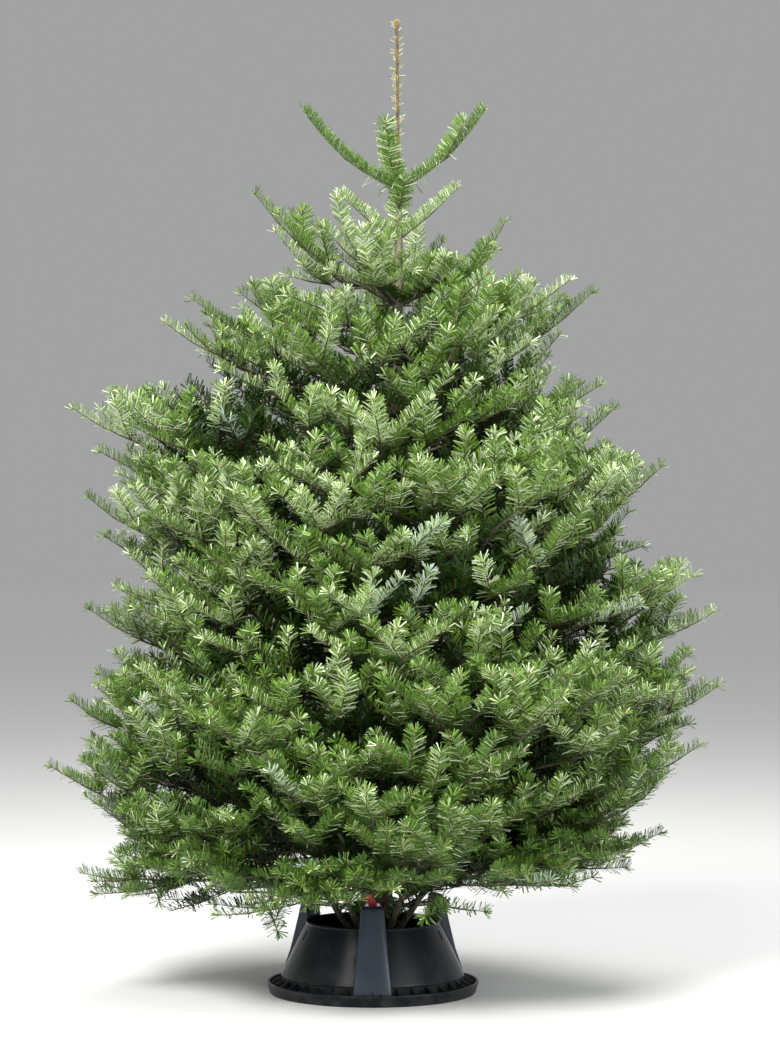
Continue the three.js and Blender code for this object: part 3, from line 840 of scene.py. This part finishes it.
def grow_bough(space, line, thickness, vigour):
    """Lays a bough along its line: years are counted back from the tip, and each one branches."""
    steps = len(line) - 1
    per_year = round(space.year / (line[1] - line[0]).length)
    marks = list(range(steps, 0, -per_year))[::-1]
    bare = stem_radius(line[0].z) + 0.03
    limb = line[:marks[-2] + 1] if len(marks) > 1 else line[:2]
    radii = [max(0.0016, thickness * (1 - index / steps) ** 0.8) for index in range(len(limb))]
    limbs.append((limb, radii, thickness > MAIN_LIMB))
    for start, end in zip([0] + marks, marks):
        if Vector((line[end] - line[0]).xy).length < bare:
            continue
        age = 1 + (steps - end) // per_year
        first, middle, last = line[start], line[(start + end) // 2], line[end]
        length = (last - first).length
        total, half = (last - first) / length, (middle - first) / length
        heading = (4 * half - total).normalized()
        bend = total - heading
        if age == 1:
            curved = WHORL_CURVE if space.tier == "tier9" else YOUNG_RISE * chance.uniform(0.1, 0.6)
            bend = bend + above(heading) * curved
            heading = heading - above(heading) * (curved if space.tier == "tier9" else 0)
        add_shoot(space, first, heading, bend, length, age, 1 if age == 1 else 0, above(heading),
                  "round" if space.tier == "tier9" else "spray")
        if age > 1 and space.tier != "tier9":
            branch_out(space, last, (heading + 2 * bend).normalized(), age - 1, 0, vigour)
            if chance.random() < BETWEEN_CHANCE:
                branch_out(space, middle, heading, BETWEEN_YEARS, 0, 1.0)


spaces = [Space(name) for name in mass_names]
tip_bearings = np.array([math.atan2(space.out.y, space.out.x) for space in spaces] + [0, 1.6, 3.1, 4.7])
tip_reaches = np.array([space.outs[-1] for space in spaces] + [TOP_GAP[1]] * 4)
tip_middles = [(space.edges[0][-1] + space.edges[1][-1]) / 2 for space in spaces]
tip_heights = np.array(tip_middles + [TOP_GAP[0]] * 4)
for space in spaces:
    plans = [MAIN_BOUGH] + OTHER_BOUGHS.get(space.tier, OTHER_BOUGHS["others"])
    for number, (at_stem, at_tip, aside, reach, vigour) in enumerate(plans):
        if number:
            at_tip += chance.uniform(-0.08, 0.08)
            aside = aside if chance.random() < 0.5 else 1 - aside
            reach *= chance.uniform(0.92, 1.06)
        line = space.bough_line(at_stem, at_tip, aside, reach)
        size = (line[-1] - line[0]).length
        thickness = (BOUGH_THICKNESS[0] + BOUGH_THICKNESS[1] * size) * (OTHER_THICKNESS if number else 1)
        grow_bough(space, line, min(BOUGH_THICKNESS[2], thickness), vigour)

# Wherever the crown would stay open, light has let a thin bough grow there too: first along its outside,
# then further in.


def ends_of(some):
    """Where the shoots that still carry needles end."""
    return [shoot["start"] + (shoot["heading"] + shoot["bend"]) * shoot["length"] for shoot in some
            if shoot["age"] <= LAST_LEAFY]


reached = np.array(ends_of(shoots))
for (layer_reach, layer_width), (row, height), turn_step in itertools.product(
        GAP_LAYERS, enumerate(np.arange(*GAP_HEIGHTS)), range(GAP_TURNS)):
    bearing = 2 * math.pi * (turn_step + 0.5 * (row % 2)) / GAP_TURNS
    direction = Vector((math.cos(bearing), math.sin(bearing), 0))
    axis = stem_at(height)
    outline = outline_at(np.array([axis + direction * 0.3]))[1][0]
    end = axis + direction * outline * layer_reach
    if np.linalg.norm(reached - np.array(end), axis=1).min() < layer_width:
        continue
    space = max(spaces, key=lambda each: each.out.dot(direction) - 4 * abs(each.tip.z - height))
    rise = (space.tip.z - space.root.z) * outline / space.outs[-1] * layer_reach
    foot = stem_at(max(height - rise, GAP_HEIGHTS[0]))
    line = [stem_at(foot.z - 0.02), foot + direction * 0.05, foot.lerp(end, 0.55) + UP * GAP_SAG, end]
    before = len(shoots)
    grow_bough(space, smoothed(line, LIMB_STEP), GAP_THICKNESS, 0.9)
    reached = np.array(list(reached) + ends_of(shoots[before:]))

# The stem's own last lengths, which carry thin yellow-green needles up the leader, and a few small shoots
# below the top.
top_space = next(space for space in spaces if space.tier == "tier9")
for z in np.arange(LEADER_FOOT, trunk_top - 0.03, LEADER_LENGTH):
    foot, head = stem_at(z), stem_at(min(z + LEADER_LENGTH, trunk_top - 0.005))
    last = z > trunk_top - LEADER_LENGTH - 0.03
    add_shoot(top_space, foot, (head - foot).normalized(), Vector((0, 0, 0)), (head - foot).length, 1,
              1 if last else 0, Vector((0, -1, 0)), "low_leader" if z < 1.70 else "leader")
for height, reach, bearing, rise in STEM_SHOOTS:
    bearing = math.radians(bearing)
    heading = Vector((math.cos(bearing), math.sin(bearing), rise)).normalized()
    up = above(heading)
    add_shoot(top_space, stem_at(height), heading, up * 0.10, reach, 1, 1, up, "round")

whorl_shoot = next(shoot for shoot in shoots if shoot["space"].name == "foliage_tier9_right")
reach = whorl_shoot["heading"] * 0.45 + whorl_shoot["bend"] * 0.2
heading = Vector(TOP_TWIG).normalized()
up = above(heading)
add_shoot(top_space, whorl_shoot["start"] + reach * whorl_shoot["length"], heading, up * 0.08,
          TOP_TWIG_LENGTH, 1, 1, up, "round")

limb_mesh = bmesh.new()
for line, radii, thick in limbs:
    if thick:
        limb_skin(limb_mesh, line, radii, LIMB_SIDES[0], LIMB_RELIEF)
    else:
        limb_skin(limb_mesh, line[:-1:2] + line[-1:], radii[:-1:2] + radii[-1:], LIMB_SIDES[1], LIMB_RELIEF)
bough_names = sorted(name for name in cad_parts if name.startswith("bough"))
add_piece("bough_limbs", limb_mesh, [bark_finish("bough_bark", False)], bough_names, crease=80)

# ---- Twigs ----
# The side branches, one tapering tube to each year's length: dark brown wood where they are older, and
# yellow-brown on the year's new lengths.
TWIG_SIDES = 4
TWIG_RADIUS = (0.0, 0.0021, 0.0025, 0.0029, 0.0033, 0.0037, 0.0041)
TWIG_COLOURS = {"twig_young": (0.050, 0.028, 0.013, 1), "twig_older": (0.036, 0.025, 0.017, 1)}


def plain_finish(name, colour, roughness, gloss=0.5):
    """A finish of one plain colour, for small things that are told apart by their colour alone."""
    finish, tree, shader = new_finish(name)
    feed(tree, shader, {"Base Color": (*colour[:3], 1), "Roughness": roughness, "Specular IOR Level": gloss})
    finish.diffuse_color = (*colour[:3], 1)
    return finish


def facts(key):
    """One fact of every shoot, as an array."""
    return np.array([shoot[key] for shoot in shoots], float)


def unit(rows):
    """Each row scaled to a length of one."""
    return rows / np.maximum(np.linalg.norm(rows, axis=1, keepdims=True), 1e-9)


def mesh_of(name, points, faces, finish_index=None):
    """A mesh straight from arrays, where every face has the same number of corners."""
    mesh = bpy.data.meshes.new(name)
    faces = np.asarray(faces, np.int32)
    count, corners = faces.shape
    mesh.vertices.add(len(points))
    mesh.vertices.foreach_set("co", np.asarray(points, np.float32).ravel())
    mesh.loops.add(count * corners)
    mesh.loops.foreach_set("vertex_index", faces.ravel())
    mesh.polygons.add(count)
    mesh.polygons.foreach_set("loop_start", np.arange(0, count * corners, corners, dtype=np.int32))
    if finish_index is not None:
        mesh.polygons.foreach_set("material_index", np.asarray(finish_index, np.int32))
    mesh.update(calc_edges=True)
    return mesh


start, heading, bend, up = (facts(key) for key in ("start", "heading", "bend", "up"))
length, age, order = (facts(key) for key in ("length", "age", "order"))


def twig_mesh(chosen):
    """Four-sided tapering tubes for the chosen shoots, bent once in the middle."""
    where = np.flatnonzero(chosen)
    thick = np.interp(age[where], range(len(TWIG_RADIUS)), TWIG_RADIUS)
    thin = np.interp(age[where] - 0.7, range(len(TWIG_RADIUS)), TWIG_RADIUS)
    rings = []
    for share in (0.0, 0.5, 1.0):
        place = start[where] + length[where, None] * (heading[where] * share + bend[where] * share ** 2)
        ahead = unit(heading[where] + 2 * bend[where] * share)
        above = unit(up[where] - ahead * (up[where] * ahead).sum(1, keepdims=True))
        side = np.cross(ahead, above)
        radius = (thick + (thin - thick) * share)[:, None]
        for corner in range(TWIG_SIDES):
            angle = 2 * math.pi * corner / TWIG_SIDES
            rings.append(place + radius * (side * math.cos(angle) + above * math.sin(angle)))
    points = np.stack(rings, 1).reshape(-1, 3)
    pattern = []
    for near, corner in itertools.product((0, TWIG_SIDES), range(TWIG_SIDES)):
        after, far = (corner + 1) % TWIG_SIDES, near + TWIG_SIDES
        pattern.append((near + corner, near + after, far + after, far + corner))
    pattern = np.array(pattern)
    faces = (np.arange(len(where))[:, None, None] * 3 * TWIG_SIDES + pattern[None]).reshape(-1, 4)
    finish = np.repeat((age[where] > 1).astype(int), len(pattern))
    return mesh_of("twigs", points, faces, finish)


twig_finishes = [plain_finish(name, colour, 0.75) for name, colour in TWIG_COLOURS.items()]
add_piece("twigs", twig_mesh(order > 0), twig_finishes, [], crease=80)

# ---- Needles ----
# Flat, blunt, glossy needles stand along every length of the last years' growth: a comb on each side,
# shorter ones leaning forwards over the top, and a rosette round the buds. Their undersides are paler, and
# the lowest of each comb are turned so that this shows. The lightest young tint is partly the new needles'
# own pale green and partly a painted highlight.
NEEDLE_SEED = 41
NEEDLE_LENGTH = 0.0300
NEEDLE_WIDTH = 0.0019
DENSITY = {1: 1340, 2: 990, 3: 710, 4: 450, 5: 260, 6: 160}
ROUND_DENSITY = 1.75
LEADER_DENSITY = 0.36
ROSETTE = 13
# Degrees that needles are turned down from the top of their shoot: where the comb starts, and where it ends
# at the crown's foot and head.
COMB_SHARE = 0.52
COMB_START = 56
COMB_ENDS = (114, 95)
COMB_HEIGHTS = (0.35, 1.45)
ROUND_TURN = (0, 96)
HANGING_TURN = (115, 180)
LEAN_SPREAD = 6
LEADER_LEAN = (60, 14)
ROSETTE_LEAN = (18, 72)
TOP_CURL = 0.10
INNER_DEPTH = (0.11, 0.22, 0.36)
INNER_SHARE = (1.0, 0.46, 0.26)
INNER_WIDTH = (1.0, 1.6, 2.6)
OPEN_TOP = (1.25, 1.50)
NEEDLE_TINTS = {
    # Partly the new needles' own pale green, partly a painted highlight: whitened to stand in for the sky's
    # gloss.
    "needle_young_light_painted_highlight": (0.510, 0.620, 0.345),
    "needle_young": (0.160, 0.275, 0.042),
    "needle_young_deep": (0.072, 0.150, 0.022),
    "needle_grown_light": (0.095, 0.180, 0.022),
    "needle_grown": (0.050, 0.110, 0.017),
    "needle_grown_deep": (0.028, 0.068, 0.009),
    "needle_inner": (0.019, 0.048, 0.006),
    "needle_under": (0.460, 0.540, 0.340),
    "needle_under_deep": (0.140, 0.200, 0.085),
    "needle_silver": (0.400, 0.500, 0.400),
    "needle_leader": (0.420, 0.400, 0.180),
}
# The places in that list of the tints that are dealt out by name.
YOUNG_DEEP, GROWN_LIGHT, GROWN_DEEP, INNER, UNDER, UNDER_DEEP, SILVER, LEADER = 2, 3, 5, 6, 7, 8, 9, 10
YOUNG_LEVELS = (0.40, 0.70)
GROWN_LEVELS = (0.42, 0.74)
# Heights and shifts of the tint level: painted shade low in the crown, painted light near the top.
PAINTED_SHADE_HEIGHTS = (0.25, 0.75, 1.2, 1.5)
PAINTED_SHADE_SHIFTS = (-0.27, -0.02, 0.02, 0.03)
UNDER_TURN = 84
UNDER_SHARES = (0.25, 0.55)
SILVER_SPRAYS = 0.991
NEEDLE_ROUGHNESS = 0.32
LIGHT_GLOSS = 0.80
rng = np.random.default_rng(NEEDLE_SEED)
needle_finishes = [plain_finish(name, colour, NEEDLE_ROUGHNESS, LIGHT_GLOSS if "light" in name else 0.32)
                   for name, colour in NEEDLE_TINTS.items()]
space_index = {space.name: index for index, space in enumerate(spaces)}
shoot_space = np.array([space_index[shoot["space"].name] for shoot in shoots])
kind = np.array([shoot["kind"] for shoot in shoots])
spray_tint = rng.random(len(shoots))
away, outline = outline_at(start + (heading * 0.5 + bend * 0.25) * length[:, None])
depth = (outline - away) * np.interp(start[:, 2], OPEN_TOP, (1.0, 0.35))
depth[kind != "spray"] = 0


def needles_of(chosen):
    """Needles of the chosen shoots, as points, triangles and the tint of each triangle."""
    where = np.flatnonzero(chosen)
    density = np.array([DENSITY.get(int(years), 0) for years in age[where]], float)
    density *= np.interp(depth[where], INNER_DEPTH, INNER_SHARE)
    density *= np.select([kind[where] == "leader", kind[where] == "round"],
                         [LEADER_DENSITY, ROUND_DENSITY], 1.0)
    extra = np.where((age[where] == 1) & (depth[where] < INNER_DEPTH[1]) & (order[where] > 0), ROSETTE, 0)
    counts = (length[where] * density).astype(int) + extra
    owner = np.repeat(where, counts)
    total = len(owner)
    number = np.arange(total) - np.repeat(np.cumsum(counts) - counts, counts)
    in_row = np.repeat(counts - extra, counts)
    rosette = number >= in_row
    share = np.where(rosette, rng.uniform(0.95, 1.0, total),
                     (number + rng.random(total)) / np.maximum(in_row, 1))
    reached = heading[owner] * share[:, None] + bend[owner] * share[:, None] ** 2
    place = start[owner] + length[owner, None] * reached
    ahead = unit(heading[owner] + 2 * bend[owner] * share[:, None])
    above = unit(up[owner] - ahead * (up[owner] * ahead).sum(1, keepdims=True))
    side = np.cross(ahead, above)
    young = age[owner] == 1
    leader = kind[owner] == "leader"
    on_stem = np.char.endswith(kind[owner], "leader")
    all_round = kind[owner] == "round"

    # Which way each needle points: how far it is turned down from the top, and how far it leans out.
    hand = rng.choice([-1.0, 1.0], total)
    combed = rng.random(total) < COMB_SHARE
    comb_end = np.interp(place[:, 2], COMB_HEIGHTS, COMB_ENDS)
    turned = np.where(combed, rng.uniform(COMB_START, comb_end, total), rng.uniform(0, COMB_START, total))
    turned = np.where(rosette, rng.uniform(0, 180, total), turned)
    hanging = rng.random(total) < 0.09 - 0.22 * share
    around = np.where(hanging, rng.uniform(*HANGING_TURN, total), rng.uniform(*ROUND_TURN, total))
    turned = np.where(all_round, around, turned)
    turned = np.where(on_stem, rng.uniform(0, 180, total), turned)
    lean = np.where(combed, 76 - 20 * share, 70 - 16 * share) + rng.normal(0, LEAN_SPREAD, total)
    lean = np.where(on_stem, LEADER_LEAN[0] + rng.normal(0, LEADER_LEAN[1], total), lean)
    lean = np.where(all_round, 82 - 14 * share + rng.normal(0, LEAN_SPREAD, total), lean)
    lean = np.radians(np.where(rosette, rng.uniform(*ROSETTE_LEAN, total) + 12 * leader, lean))
    turn_down = np.radians(turned)
    outward = above * np.cos(turn_down)[:, None] + side * (hand * np.sin(turn_down))[:, None]
    curl = np.where(rosette, 0.0, TOP_CURL)[:, None]
    direction = unit(ahead * np.cos(lean)[:, None] + outward * np.sin(lean)[:, None]
                     + above * curl + rng.normal(0, 0.05, (total, 3)))

    # Each needle is a blade of two triangles, blunt and a little oblique at its tip.
    reach = NEEDLE_LENGTH * np.where(combed, 1.0, 0.92) * rng.uniform(0.86, 1.08, total)
    reach *= np.where(young, 1.0 - 0.16 * share ** 2, 0.95) * np.where(rosette, 0.86, 1)
    reach *= np.select([kind[owner] == "low_leader", leader & ~rosette, leader], [0.85, 0.62, 0.68], 1.0)
    facing = np.where(rosette[:, None], ahead, above)
    flat = unit(np.cross(facing, direction) + rng.normal(0, 0.15, (total, 3)))
    flat = unit(flat - direction * (flat * direction).sum(1, keepdims=True))
    widening = np.interp(depth[owner], INNER_DEPTH, INNER_WIDTH) * np.where(leader, 0.75, 1)
    half = (0.5 * NEEDLE_WIDTH * widening * rng.uniform(0.85, 1.15, total))[:, None]
    tip = place + direction * reach[:, None]
    oblique = direction * (reach * rng.uniform(0.02, 0.07, total))[:, None]
    foot = flat * half * 0.5
    corners = [place - foot, place + foot, tip + flat * half - oblique, tip - flat * half]
    points = np.stack(corners, 1).reshape(-1, 3)
    faces = (np.arange(total)[:, None, None] * 4 + np.array([(0, 1, 2), (0, 2, 3)])[None]).reshape(-1, 3)

    # The tint goes by spray, with some chance for each needle, and shifts with height: darker low in the
    # crown as painted shade, and a little lighter higher up as painted light.
    level = spray_tint[owner] * 0.45 + rng.random(total) * 0.55 + 0.12 * rosette
    level += np.interp(place[:, 2], PAINTED_SHADE_HEIGHTS, PAINTED_SHADE_SHIFTS)
    tint = np.where(young, YOUNG_DEEP - np.digitize(level, YOUNG_LEVELS),
                    GROWN_DEEP - np.digitize(level, GROWN_LEVELS))
    shown = rng.random(total) < np.interp(place[:, 2], COMB_HEIGHTS, UNDER_SHARES)
    under = (turned > UNDER_TURN) & shown & ~rosette & (age[owner] < 4)
    tint = np.where(under, np.where(young, UNDER, UNDER_DEEP), tint)
    inside = (age[owner] > 3) | (depth[owner] > INNER_DEPTH[1])
    tint = np.where(inside, INNER - (rng.random(total) < 0.3), tint)
    tint = np.where((spray_tint[owner] > SILVER_SPRAYS) & (rng.random(total) < 0.6), SILVER, tint)
    tint = np.where(leader & ~rosette, np.where(rng.random(total) < 0.7, LEADER, GROWN_LIGHT), tint)
    return points, faces, np.repeat(tint, 2)


for tier in sorted({space.tier for space in spaces}):
    members = [space for space in spaces if space.tier == tier]
    here = np.isin(shoot_space, [space_index[space.name] for space in members])
    name = "needles_" + tier
    add_piece(name, mesh_of(name, *needles_of(here)), needle_finishes,
              [space.name for space in members], crease=0)

# ---- Buds ----
# Three pointed brown buds stand at the end of each new shoot: one in the middle and one at each side.
# Those of the leading shoot are larger.
BUD_COLOUR = (0.300, 0.190, 0.080)
BUD_LENGTH = 0.0068
BUD_RADIUS = 0.0020
BUD_DEPTH = 0.13
BUD_SPREAD = 0.9
BUD_SIZES = ((0, 1.0), (-1, 0.8), (1, 0.8))
LEADER_BUD = 1.9
tips = np.flatnonzero((age == 1) & (order > 0) & (depth < BUD_DEPTH))
bud_ahead = unit(heading[tips] + 2 * bend[tips])
bud_side = unit(np.cross(bud_ahead, up[tips]))
bud_above = np.cross(bud_side, bud_ahead)
bud_foot = start[tips] + length[tips, None] * (heading[tips] + bend[tips])
bud_points = []
for hand, size in BUD_SIZES:
    grown = unit(bud_ahead + bud_side * hand * BUD_SPREAD)
    size = (size * np.where(kind[tips] == "leader", LEADER_BUD, 1.0))[:, None]
    for corner in range(4):
        angle = math.pi * corner / 2
        girth = bud_side * math.cos(angle) + bud_above * math.sin(angle)
        bud_points.append(bud_foot + BUD_RADIUS * (girth + 1.2 * grown) * size)
    bud_points.append(bud_foot + grown * BUD_LENGTH * size)
    bud_points.append(bud_foot)
pattern = np.array([(bud * 6 + corner, bud * 6 + (corner + 1) % 4, bud * 6 + end)
                    for bud, corner, end in itertools.product(range(3), range(4), (4, 5))])
bud_faces = (np.arange(len(tips))[:, None, None] * 18 + pattern[None]).reshape(-1, 3)
bud_mesh = mesh_of("buds", np.stack(bud_points, 1).reshape(-1, 3), bud_faces)
add_piece("buds", bud_mesh, [plain_finish("bud_scales", BUD_COLOUR, 0.55)], [])

# ---- Floor, light and camera ----
# A plain pale floor under soft studio light: a key from the upper left, a weaker fill from the right and a
# light above. The whole tree is seen from straight in front, at chest height.
CAMERA_DISTANCE = 6.3
CAMERA_HEIGHT = 0.99
CAMERA_SIDE = 0.036
LENS = 103.8
FLOOR_REACH = 40
FLOOR_COLOUR = (0.66, 0.66, 0.65)
SKY_COLOUR = (0.88, 0.89, 0.90)
SKY_STRENGTH = 0.62

floor_mesh = bpy.data.meshes.new("floor")
floor_corners = [(x * FLOOR_REACH, y * FLOOR_REACH, 0) for x, y in ((-1, -1), (1, -1), (1, 1), (-1, 1))]
floor_mesh.from_pydata(floor_corners, [], [(0, 1, 2, 3)])
floor = bpy.data.objects.new("floor", floor_mesh)
bpy.context.scene.collection.objects.link(floor)
floor_mesh.materials.append(plain_finish("floor_paper", FLOOR_COLOUR, 0.9, 0.1))


def add_light(name, size, power, place, target, colour=(1, 1, 1)):
    """Adds a round soft light that faces its target."""
    light = bpy.data.lights.new(name, "AREA")
    light.shape = "DISK"
    light.size = size
    light.energy = power
    light.color = colour
    lamp = bpy.data.objects.new(name, light)
    lamp.location = place
    lamp.rotation_euler = (Vector(target) - Vector(place)).to_track_quat("-Z", "Y").to_euler()
    bpy.context.scene.collection.objects.link(lamp)


add_light("key", 2.6, 590, (-2.0, -4.2, 4.6), (0, 0, 1.2), (1.0, 0.99, 0.96))
add_light("fill", 3.0, 150, (3.6, -3.4, 2.8), (0, 0, 1.1), (0.96, 0.98, 1.0))
add_light("top", 3.0, 190, (0.4, 1.2, 5.0), (0, 0, 1.0))
world = bpy.data.worlds.new("studio")
world.use_nodes = True
seen = add_node(world.node_tree, "LightPath", {}).outputs["Is Camera Ray"]
shaded_sky = [sky * paper for sky, paper in zip(SKY_COLOUR, FLOOR_COLOUR)]
shown = add_node(world.node_tree, "Mix", {"A": (*SKY_COLOUR, 1), "B": (*shaded_sky, 1), "Factor": seen},
                 data_type="RGBA")
feed(world.node_tree, world.node_tree.nodes["Background"],
     {"Color": shown.outputs["Result"], "Strength": SKY_STRENGTH})
bpy.context.scene.world = world
bpy.context.scene.view_settings.view_transform = "Standard"

camera_data = bpy.data.cameras.new("camera")
camera_data.sensor_width = 36
camera_data.lens = LENS
camera = bpy.data.objects.new("camera", camera_data)
camera.location = (CAMERA_SIDE, -CAMERA_DISTANCE, CAMERA_HEIGHT)
camera.rotation_euler = (math.radians(90), 0, 0)
bpy.context.scene.collection.objects.link(camera)
bpy.context.scene.camera = camera
